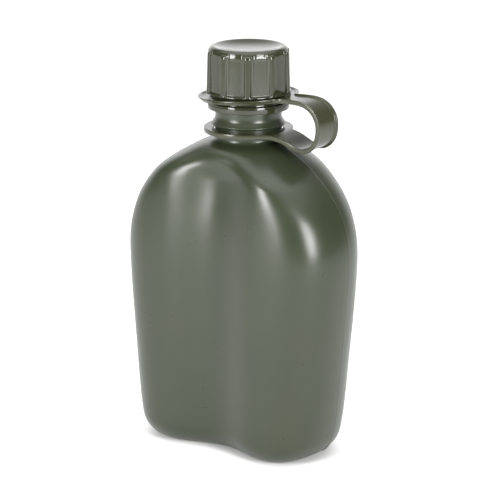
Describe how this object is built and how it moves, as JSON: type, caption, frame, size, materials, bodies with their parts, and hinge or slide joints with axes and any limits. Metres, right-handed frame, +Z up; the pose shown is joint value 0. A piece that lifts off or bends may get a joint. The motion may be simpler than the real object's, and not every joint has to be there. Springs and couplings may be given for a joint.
{
  "type": "canteen",
  "caption": "Kidney-section moulded canteen with a ribbed screw cap held to the neck by a flexible looped strap.",
  "frame": {"origin": "on the standing plane, under the axis of the neck, which is also the middle of the footprint", "axes": "+Z up along the neck axis; the hollow hip face is towards -Y, the convex face towards +Y; the cap's strap is towards +X"},
  "size_m": [0.1322, 0.0742, 0.2151],
  "materials": {
    "bottle": "semi-gloss blow-moulded polyethylene, olive drab",
    "cap": "glossy moulded plastic, olive drab",
    "strap": "satin flexible moulded plastic, olive drab",
    "gasket": "matt black rubber"
  },
  "bodies": {
    "flask": {"bottle": "bottle"},
    "neck_ring": {"strap_neck_ring": "strap"},
    "strap_bend": {"strap_band": "strap"},
    "cap_ring": {"strap_cap_ring": "strap"},
    "gasket": {"cap_gasket": "gasket"},
    "cap": {"screw_cap": "cap"}
  },
  "joints": [
    {"name": "strap_swivel", "type": "hinge", "parent": "flask", "child": "neck_ring", "pos_m": [0, 0, 0.17076], "axis": [0, 0, 1], "continuous": true},
    {"name": "strap_bend_follow", "type": "slide", "parent": "neck_ring", "child": "strap_bend", "axis": [-0.3004, 0, 0.9538], "range_m": [0, 0.01573]},
    {"name": "cap_ring_follow", "type": "slide", "parent": "strap_bend", "child": "cap_ring", "axis": [0.3004, 0, 0.9538], "range_m": [0, 0.01573]},
    {"name": "cap_lift", "type": "slide", "parent": "flask", "child": "gasket", "axis": [0, 0, 1], "range_m": [0, 0.03]},
    {"name": "cap_turn", "type": "hinge", "parent": "gasket", "child": "cap", "pos_m": [0, 0, 0.20932], "axis": [0, 0, 1], "range_deg": [0, 1800]}
  ],
  "couplings": [
    {"joint": "cap_lift", "follows": "cap_turn", "m_per_rad": 0.00095505},
    {"joint": "strap_bend_follow", "follows": "cap_turn", "m_per_rad": 0.00050066},
    {"joint": "cap_ring_follow", "follows": "cap_turn", "m_per_rad": 0.00050066}
  ]
}
